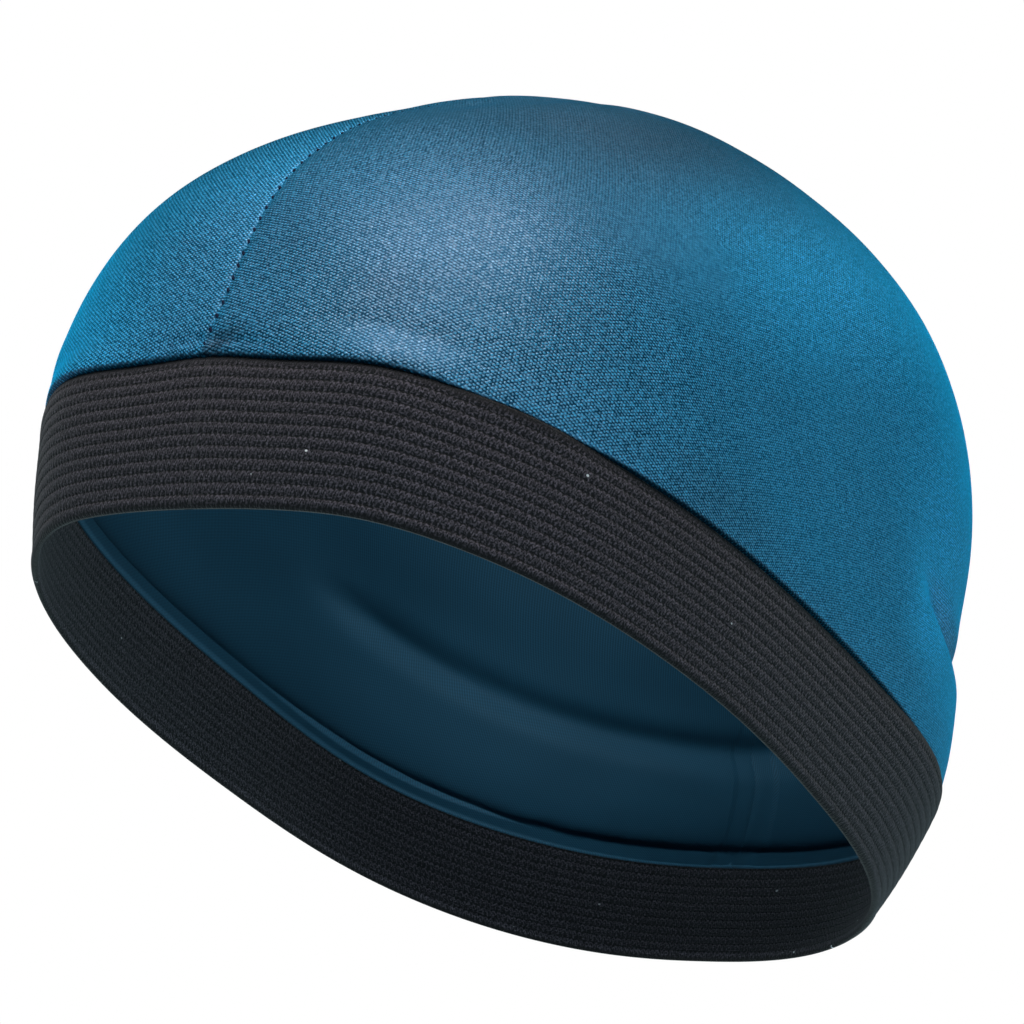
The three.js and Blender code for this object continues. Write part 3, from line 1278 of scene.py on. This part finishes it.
@dataclass
class CrownPanel:
    """One of the two satin panels, as a closed shell from the seam down to its hem.

    Attributes:
        side: which half of the cap it makes.
        grid: the grid that it is built on.
        stitches: the row of stitches along the seam.
        thickness: of the wall.
        hem_face: height over the band, and how far the outer face stands beyond the form.
        hem_hold: heights over the band between which the folds run out.
        lean_fade: heights over the band between which the band's lean runs out.
        slack_fade: heights over the band between which the waves of the slack begin.
        seam_dip, seam_groove: depth and reach.
        seam_bulge: height, distance from the seam, and reach; on the left panel alone.
        seam_slit: half of the gap between the two panels.
        allowance: how far the pressed seam allowance reaches inside, its edge, and its added
            thickness.
        flat_centre, flat_radius: middle and radius of the map from the crown to flat cloth.
        folds, puckers, slack: the forms that the satin's surface takes.
    """

    side: Side
    grid: CrownGrid
    stitches: StitchRow
    thickness: float = 1.15
    hem_face: Table = ((-4, -2.0), (-0.5, -2.0), (0.35, 0.35), (6, 0.45), (18, 0))
    hem_hold: Pair = (1.1, 3.4)
    lean_fade: Pair = (1.1, 14.0)
    slack_fade: Pair = (3.0, 14.0)
    seam_dip: Pair = (0.05, 1.5)
    seam_groove: Pair = (0.08, 0.3)
    seam_bulge: Triple = (0.03, 2.4, 1.3)
    seam_slit: float = 0.02
    allowance: Triple = (5.5, 0.7, 0.45)
    flat_centre: Pair = (60.0, 30.0)
    flat_radius: float = 95.0
    folds: tuple[Fold, ...] = (
        Fold(turn=(110, 180), over=(27.4, 21.4), width=2.3, height=-2.9, fade=(18, 0)),
        Fold(turn=(104, 180), over=(34, 28), width=7, height=-1.5, fade=(20, 0)),
        Fold(turn=(0.4, 8), over=(2.6, 0.9), width=0.9, height=-0.9, fade=(1.5, 6)),
    )
    puckers: tuple[Pucker, ...] = (
        Pucker(side=9, forward=20, across=2.0, along=9, height=-0.45),
        Pucker(side=14, forward=2, across=2.4, along=12, height=-0.6),
    )
    slack: tuple[Slack, ...] = (
        Slack(direction=(0.35, 0.75, 0.55), wavelength=31, start=0.1, height=0.10),
        Slack(direction=(0.75, -0.25, 0.6), wavelength=23, start=0.45, height=0.07),
        Slack(direction=(-0.2, 0.95, -0.3), wavelength=13, start=0.7, height=0.03),
    )

    def relief(self) -> np.ndarray:
        """How far the satin stands beyond the dome form at each point of the grid."""
        return self.cover() - ease(self.grid.over, *self.hem_hold) * self.seam_relief()

    def cover(self) -> np.ndarray:
        """How far the satin would stand beyond the dome form if it had no seam.

        Returns:
            The distance at each point of the grid.
        """
        points, turn, over = self.grid.points, self.grid.turn, self.grid.over
        free = ease(over, *self.hem_hold)
        result = eased_table(self.hem_face, over)
        result += self.grid.opening.satin_stand_off(turn, over, self.lean_fade)
        for fold in self.folds:
            result += free * fold.rise(turn, over)
        centre = self.grid.form.centre[2]
        top = ease(points[:, 2], centre, centre + self.grid.form.crown_height / 2.0)
        for pucker in self.puckers:
            result += top * pucker.rise(points)
        settled = ease(over, *self.slack_fade)
        for wave in self.slack:
            result += settled * wave.rise(points)
        return result

    def seam_relief(self) -> np.ndarray:
        """Depth of the dip, the groove and the pits along the seam, less the bulge beside it.

        Returns:
            The depth at each point of the grid.
        """
        aside = self.grid.points[:, 0]
        depth = self.stitches.pull(self.grid.travelled, aside)
        for part, reach in (self.seam_dip, self.seam_groove):
            depth += part * bell(aside, reach)
        if self.side is Side.LEFT:
            height, middle, reach = self.seam_bulge
            depth -= height * bell(aside - middle, reach)
        return depth

    def flat_place(self, points: np.ndarray, over: np.ndarray) -> np.ndarray:
        """Where points of the panel lie in the flat cloth.

        Args:
            points: points of the left half, one a row.
            over: their height over the band.

        Returns:
            Millimetres towards the back and upwards from the map's middle, and over the band.
        """
        middle = unit_vector(*self.flat_centre)
        back = np.array([0.0, 1.0, 0.0]) - middle * middle[1]
        back /= np.linalg.norm(back)
        up = np.cross(middle, back)
        offset = points - np.array(self.grid.form.centre)
        directions = offset / np.linalg.norm(offset, axis=1)[:, None]
        angle = np.arccos(np.clip(directions @ middle, -1.0, 1.0))
        scale = self.flat_radius * angle / np.maximum(np.sin(angle), 1e-9)
        return np.stack([scale * (directions @ back), scale * (directions @ up), over], -1)

    def build(self, finish: SatinFinish, reverse: ReverseFinish, name: str) -> bpy.types.Object:
        """Makes the panel and dresses it.

        Args:
            finish: the satin's face.
            reverse: the satin's inside.
            name: the CAD node that the panel stands for.

        Returns:
            The panel.
        """
        grid = self.grid
        outer_numbers, outer_used = grid.numbers(1, 0)
        inner_numbers, inner_used = grid.numbers(2, len(outer_used))
        outer_reach = grid.reach + self.relief()
        reach, edge, added = self.allowance
        wall = self.thickness + added * (1.0 - ease(grid.points[:, 0], reach - edge, reach))
        outer = grid.start + grid.directions * outer_reach[:, None]
        inner = grid.start + grid.directions * (outer_reach - wall)[:, None]
        points = np.concatenate([outer[outer_used], inner[inner_used]])
        over = grid.over[np.concatenate([outer_used, inner_used])]
        cloth = self.flat_place(points, over)
        points[:, 0] = (points[:, 0] + self.seam_slit) * self.side.value
        points[:, 0] += grid.foot_shift(points)
        mirrored = self.side is Side.RIGHT
        face = grid_faces(outer_numbers, not mirrored)
        back = grid_faces(inner_numbers, mirrored)
        rim = fine_over_coarse(outer_numbers[:, 0], inner_numbers[:, 0], mirrored)
        rim += fine_over_coarse(outer_numbers[:, -1], inner_numbers[:, -1], not mirrored)
        panel = mesh_object(name + "_satin", points, face + back + rim, cloth)
        panel.data.materials.append(finish.make())
        panel.data.materials.append(reverse.make())
        inside = np.zeros(len(panel.data.polygons), np.int32)
        inside[len(face) :] = 1
        panel.data.polygons.foreach_set("material_index", inside)
        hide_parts(name)
        return panel


@dataclass
class SeamThread:
    """The dark stitches that show along the centre seam.

    Attributes:
        panel: the panel whose seam they hold.
        length, radius: of the thread of one stitch.
        slant: how far each stitch turns out of the seam's line.
        sink: how deep the thread lies below the satin beside the seam.
        dive: how far its two ends dive into the cloth, in radii.
        tip: least share of the thread's section that is left at its ends.
        first_over: height over the band of the lowest stitch.
        ahead: distance over which the seam's direction is taken.
        sides, steps: faces round the thread and along it.
    """

    panel: CrownPanel
    length: float = 1.55
    radius: float = 0.31
    slant: float = 36.0
    sink: float = 0.32
    dive: float = 1.6
    tip: float = 0.04
    first_over: float = 1.6
    ahead: float = 0.5
    sides: int = 8
    steps: int = 6

    def build(self, finish: ThreadFinish) -> bpy.types.Object:
        """Makes all the stitches as one mesh and dresses them.

        Args:
            finish: the thread's finish.

        Returns:
            The stitches.
        """
        grid = self.panel.grid
        spacing = self.panel.stitches.spacing
        rows = len(grid.across_lines)
        facing = grid.directions[::rows]
        seam = grid.points[::rows] + facing * self.panel.cover()[::rows, None]
        over = grid.over[::rows]
        slant = math.radians(self.slant)
        count = int(grid.seam_length[-1] / spacing)
        blocks, faces, cloth = [], [], []
        for place in (np.arange(count) + 0.5) * spacing:
            if np.interp(place, grid.seam_length, over) < self.first_over:
                continue
            middle = grid.at_length(place, seam)
            out = grid.at_length(place, facing)
            ahead = grid.at_length(place + self.ahead, seam) - middle
            ahead /= np.linalg.norm(ahead)
            middle[0] += grid.foot_shift(middle[None])[0]
            out -= ahead * (out @ ahead)
            out /= np.linalg.norm(out)
            line = ahead * math.cos(slant) + np.cross(out, ahead) * math.sin(slant)
            first = len(blocks) * (self.steps + 1) * self.sides
            block, flat = self.thread(middle - out * self.sink, line, out)
            blocks.append(block)
            cloth.append(flat)
            faces += self.thread_faces(first)
        thread = mesh_object("seam_thread", np.concatenate(blocks), faces, np.concatenate(cloth))
        thread.data.materials.append(finish.make())
        return thread

    def thread(
        self, middle: np.ndarray, line: np.ndarray, out: np.ndarray
    ) -> tuple[np.ndarray, np.ndarray]:
        """Vertices of one stitch, a thread that thins out where its ends dive into the cloth.

        Args:
            middle: the middle of the stitch.
            line: its direction.
            out: away from the cloth.

        Returns:
            The vertices, and their places on the thread.
        """
        share = np.linspace(-1.0, 1.0, self.steps + 1)
        aside = np.cross(line, out)
        points, flat = [], []
        for t in share:
            centre = middle + line * t * self.length / 2.0 - out * self.radius * self.dive * t**4
            width = self.radius * math.sqrt(max(self.tip, 1.0 - t**6))
            for k in range(self.sides):
                turn = 2.0 * math.pi * k / self.sides
                points.append(centre + (aside * math.cos(turn) + out * math.sin(turn)) * width)
                flat.append((t * self.length / 2.0, k / self.sides, 0.0))
        return np.array(points), np.array(flat)

    def thread_faces(self, first: int) -> Faces:
        """Faces of one stitch whose vertices begin at a number.

        Args:
            first: number of its first vertex.

        Returns:
            Vertex numbers of each face.
        """
        faces = []
        for i in range(self.steps):
            for k in range(self.sides):
                a = first + i * self.sides + k
                b = first + i * self.sides + (k + 1) % self.sides
                faces.append([a, b, b + self.sides, a + self.sides])
        last = first + self.steps * self.sides
        faces.append([first + k for k in reversed(range(self.sides))])
        faces.append([last + k for k in range(self.sides)])
        return faces


@dataclass
class ElasticBand:
    """The knitted elastic band: ribs along it, a pit at each stitch, and a plain back.

    Attributes:
        form, opening: what the band lies on.
        thickness: of the band.
        face, back: share of the height and how far the face, or the back, stands out.
        stitches: number of stitches round the opening.
        samples: points of the mesh for each stitch.
        back_step: how many times coarser the back is.
        ribs: number of ribs up the face.
        rib_rows: share of a rib and the height there.
        pit_depth: how deep the stitches pull in between two ribs.
        fine_steps: steps round the opening in which its length is measured.
        length: round the opening, known once the band is built.
    """

    form: DomeForm
    opening: Opening
    thickness: float = 1.6
    face: Table = (
        (0.0, -0.35),
        (0.03, 0.25),
        (0.09, 0.0),
        (0.45, 0.1),
        (0.8, 0.1),
        (0.92, 0.0),
        (0.97, -0.35),
        (1.0, -0.9),
    )
    back: Table = ((1.0, 0.0), (0.85, 0.0), (0.6, 0.0), (0.3, 0.0), (0.06, 0.0), (0.0, 0.7))
    stitches: int = 498
    samples: int = 3
    back_step: int = 6
    ribs: int = 13
    rib_rows: Table = ((0.0, -0.1), (0.2, 0.0), (0.5, 0.03), (0.82, 0.01))
    pit_depth: float = 0.16
    fine_steps: int = 720
    length: float = field(init=False, default=0.0)

    def round_angles(self, count: int) -> np.ndarray:
        """Angles round the opening at equal lengths along the band, from the front.

        Args:
            count: how many.

        Returns:
            The angles.
        """
        angle = np.linspace(0.0, 2.0 * math.pi, self.fine_steps + 1)
        ring = self.ring(angle, 0.5, 0.0)
        steps = np.linalg.norm(np.diff(ring, axis=0), axis=1)
        length = np.concatenate([[0.0], np.cumsum(steps)])
        self.length = float(length[-1])
        return np.interp(np.arange(count) / count * self.length, length, angle)

    def ring(self, angle: np.ndarray, share: float, out: float | np.ndarray) -> np.ndarray:
        """Points of the band at a share of its height.

        Args:
            angle: angles round the opening from the front.
            share: share of the height.
            out: how far the points stand beyond the form.

        Returns:
            One point for each angle.
        """
        turn = np.degrees(np.minimum(angle, 2.0 * math.pi - angle))
        opening = self.opening
        directions = opening.forward * np.cos(angle)[:, None] + opening.left * np.sin(angle)[:, None]
        centre = opening.up * (share * opening.top(turn))[:, None]
        distance = self.form.reach(centre, directions) + out + opening.stand_off(turn, share)
        return centre + directions * distance[:, None]

    def face_levels(self) -> list[Triple]:
        """Rows of the face from the lower edge up.

        Returns:
            For each row its share of the height, its place in ribs and how far it stands out.
        """
        shares, outs = np.array(self.face).T
        levels = []
        for rib in range(self.ribs):
            for part, rise in self.rib_rows:
                share = (rib + part) / self.ribs
                levels.append((share, rib + part, float(np.interp(share, shares, outs)) + rise))
        levels[0] = (0.0, 0.0, self.face[0][1])
        levels.append((1.0, float(self.ribs), self.face[-1][1]))
        return levels

    def build(self, finish: KnitFinish, name: str) -> bpy.types.Object:
        """Makes the band and dresses it.

        Args:
            finish: the knit.
            name: the CAD node that the band stands for.

        Returns:
            The band.
        """
        count = self.stitches * self.samples
        angle = self.round_angles(count)
        stitch = np.arange(count) / self.samples
        in_pit = (np.arange(count) % self.samples == 0).astype(float)
        rows, cloth = [], []
        for share, rib, out in self.face_levels():
            groove = rib == int(rib) and 0.0 < share < 1.0
            rows.append(self.ring(angle, share, out - (self.pit_depth * in_pit if groove else 0.0)))
            cloth.append(np.stack([stitch, np.full(count, rib), np.zeros(count)], -1))
        face_rows = len(rows)
        coarse = angle[:: self.back_step]
        for share, out in self.back:
            rows.append(self.ring(coarse, share, out - self.thickness))
            rib = np.full(len(coarse), share * self.ribs)
            cloth.append(np.stack([stitch[:: self.back_step], rib, np.ones(len(coarse))], -1))
        first = np.cumsum([0] + [len(row) for row in rows])
        closed = [np.append(np.arange(len(row)), 0) + start for row, start in zip(rows, first)]
        faces = grid_faces(np.array(closed[:face_rows]), True)
        faces += grid_faces(np.array(closed[face_rows:]), True)
        faces += fine_over_coarse(closed[face_rows - 1], closed[face_rows], False)
        faces += fine_over_coarse(closed[0], closed[-1], True)
        band = mesh_object(name + "_knit", np.concatenate(rows), faces, np.concatenate(cloth))
        band.data.materials.append(finish.make())
        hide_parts(name)
        return band


@dataclass(frozen=True)
class SoftBox:
    """A soft studio light that points at the cap.

    Attributes:
        name: of the light.
        turn, rise: where it stands, as seen from the cap.
        distance, size: in metres.
        power: in watts.
        colour: of the light.
    """

    name: str
    turn: float
    rise: float
    distance: float
    size: Pair
    power: float
    colour: Triple

    def place(self, target: Vector) -> None:
        """Puts the light up.

        Args:
            target: the point that it shines at.
        """
        lamp = bpy.data.lights.new(self.name, "AREA")
        lamp.shape = "RECTANGLE"
        lamp.size, lamp.size_y = self.size
        lamp.energy = self.power
        lamp.color = self.colour
        obj = bpy.data.objects.new(self.name, lamp)
        obj.location = target + Vector(unit_vector(self.turn, self.rise)) * self.distance
        obj.rotation_euler = (target - obj.location).to_track_quat("-Z", "Y").to_euler()
        bpy.context.scene.collection.objects.link(obj)


@dataclass
class Studio:
    """Plain pale floor, soft light and the camera at the photograph's angle.

    Attributes:
        target: the point of the cap that light and camera turn about.
        turn, rise, roll: the camera's direction and tilt.
        distance: from the target to the camera, in metres.
        focal: focal length in pixels.
        middle: where the target lies in the picture, in pixels from the top left.
        sensor: width of the sensor.
        farthest: how far the camera sees, in metres.
        floor_height, floor_size: in metres.
        floor_colour, floor_roughness: of the floor.
        floor_glow: how brightly the camera sees the floor, beside the light that falls on it.
        backdrop: the colour that the camera sees behind the cap.
        horizon, ceiling, overhead: light from the sides and from overhead, and the heights
            between which one turns into the other.
        lights: the soft boxes.
    """

    target: Vector
    turn: float = 36.14
    rise: float = -4.0
    roll: float = 2.0
    distance: float = 1.2
    focal: float = 6085.3
    middle: Pair = (521.1, 570.5)
    sensor: float = 36.0
    farthest: float = 100.0
    floor_height: float = -3.0
    floor_size: float = 40.0
    floor_colour: Colour = (0.86, 0.86, 0.86, 1.0)
    floor_roughness: float = 0.8
    floor_glow: float = 0.85
    backdrop: Colour = (1.0, 1.0, 1.0, 1.0)
    horizon: Colour = (0.03, 0.03, 0.03, 1.0)
    ceiling: Colour = (0.01, 0.01, 0.01, 1.0)
    overhead: Pair = (0.2, 0.75)
    lights: tuple[SoftBox, ...] = (
        SoftBox("key_light", 36, 71, 1.3, (1.2, 0.55), 18.0, (1.0, 1.0, 1.0)),
        SoftBox("front_light", 36, -34, 1.5, (2.6, 0.7), 19.4, (0.68, 0.92, 1.0)),
        SoftBox("left_light", -80, -34, 1.5, (1.2, 0.7), 4.0, (0.76, 0.94, 1.0)),
        SoftBox("right_light", 152, -34, 1.5, (1.2, 0.7), 4.5, (0.6, 0.94, 1.0)),
        SoftBox("back_light", 216, -25, 1.6, (1.6, 0.8), 5.5, (0.6, 0.94, 1.0)),
    )

    def floor(self) -> None:
        """Lays a plain pale floor far below the cap, which glows so that it stays pale in the picture."""
        half = self.floor_size / 2.0
        mesh = bpy.data.meshes.new("floor")
        corners = [(-half, -half), (half, -half), (half, half), (-half, half)]
        mesh.from_pydata([(x, y, self.floor_height) for x, y in corners], [], [(0, 1, 2, 3)])
        obj = bpy.data.objects.new("floor", mesh)
        bpy.context.scene.collection.objects.link(obj)
        material, nodes, shader = shaded_material("pale_floor")
        seen = nodes.add("ShaderNodeLightPath").outputs["Is Camera Ray"]
        surface = {
            "Base Color": self.floor_colour,
            "Roughness": self.floor_roughness,
            "Emission Color": self.floor_colour,
            "Emission Strength": nodes.math("MULTIPLY", seen, self.floor_glow),
        }
        nodes.fill(shader, surface)
        mesh.materials.append(material)

    def sky(self) -> None:
        """Surrounds the set with soft light that fades overhead, seen as plain white."""
        world = bpy.data.worlds.new("studio")
        bpy.context.scene.world = world
        world.use_nodes = True
        nodes = Nodes(world.node_tree)
        direction = nodes.add("ShaderNodeTexCoord").outputs["Generated"]
        height = nodes.along(direction, (0.0, 0.0, 1.0))
        light = nodes.mix(nodes.span(height, *self.overhead), self.horizon, self.ceiling)
        seen = nodes.add("ShaderNodeLightPath").outputs["Is Camera Ray"]
        background = nodes.add("ShaderNodeBackground")
        nodes.feed(background.inputs["Color"], nodes.mix(seen, light, self.backdrop))
        output = nodes.add("ShaderNodeOutputWorld")
        nodes.feed(output.inputs["Surface"], background.outputs[0])

    def camera(self) -> None:
        """Sets the camera up so that the target falls on its place in the picture."""
        away = Vector(unit_vector(self.turn, self.rise))
        turn = math.radians(self.turn)
        level = Vector((math.cos(turn), math.sin(turn), 0.0))
        upright = away.cross(level)
        roll = math.radians(self.roll)
        right = level * math.cos(roll) + upright * math.sin(roll)
        up = upright * math.cos(roll) - level * math.sin(roll)
        half = PICTURE / 2.0
        aside = (half - self.middle[0]) / self.focal
        above = (self.middle[1] - half) / self.focal
        look = (-away + right * aside + up * above).normalized()
        right = (right - look * right.dot(look)).normalized()
        up = right.cross(look)
        lens = bpy.data.cameras.new("camera")
        lens.sensor_width = self.sensor
        lens.lens = self.focal * self.sensor / PICTURE
        lens.clip_end = self.farthest
        obj = bpy.data.objects.new("camera", lens)
        turned = Matrix((right, up, -look)).transposed().to_4x4()
        obj.matrix_world = Matrix.Translation(self.target + away * self.distance) @ turned
        bpy.context.scene.collection.objects.link(obj)
        bpy.context.scene.camera = obj

    def build(self) -> None:
        """Builds the whole set."""
        self.floor()
        self.sky()
        self.camera()
        for light in self.lights:
            light.place(self.target)
        bpy.context.scene.view_settings.view_transform = "Standard"


def report(piece: bpy.types.Object) -> None:
    """Lets a piece ride on the cap's body and logs what it is."""
    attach(piece, BODY)
    log.info("%s: %d triangles", piece.name, triangles_of(piece))


def main() -> None:
    """Builds the cap and its set in order."""
    logging.basicConfig(level=logging.INFO, format="%(message)s")
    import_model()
    form = DomeForm()
    opening = Opening()
    grid = CrownGrid(form, opening)
    stitches = StitchRow()
    reverse = ReverseFinish()
    left_maker = CrownPanel(Side.LEFT, grid, stitches)
    left = left_maker.build(SatinFinish("satin_left"), reverse, "crown_panel_left")
    report(left)
    # Painted light: the right panel's dye is brighter than the left's, with two further patches of painted
    # light on it.
    right_painted_patches = (
        PaintedLightPatch(back=-48, up=64, reach_back=42, reach_up=42, strength=0.62),
        PaintedLightPatch(back=-58, up=8, reach_back=30, reach_up=30, strength=0.62),
    )
    right_finish = SatinFinish("satin_right", weights=(0.5, 0.7, 1.0), depth=1.05, painted_light_patches=right_painted_patches)
    right = CrownPanel(Side.RIGHT, grid, stitches).build(right_finish, reverse, "crown_panel_right")
    report(right)
    thread = SeamThread(left_maker).build(ThreadFinish())
    report(thread)
    band_maker = ElasticBand(form, opening)
    band = band_maker.build(KnitFinish(), "elastic_band")
    report(band)
    log.info("seam %.1f mm, band %.1f mm round", grid.seam_length[-1], band_maker.length)
    Studio(Vector(form.centre) * MM).build()


if __name__ == "__main__":
    main()
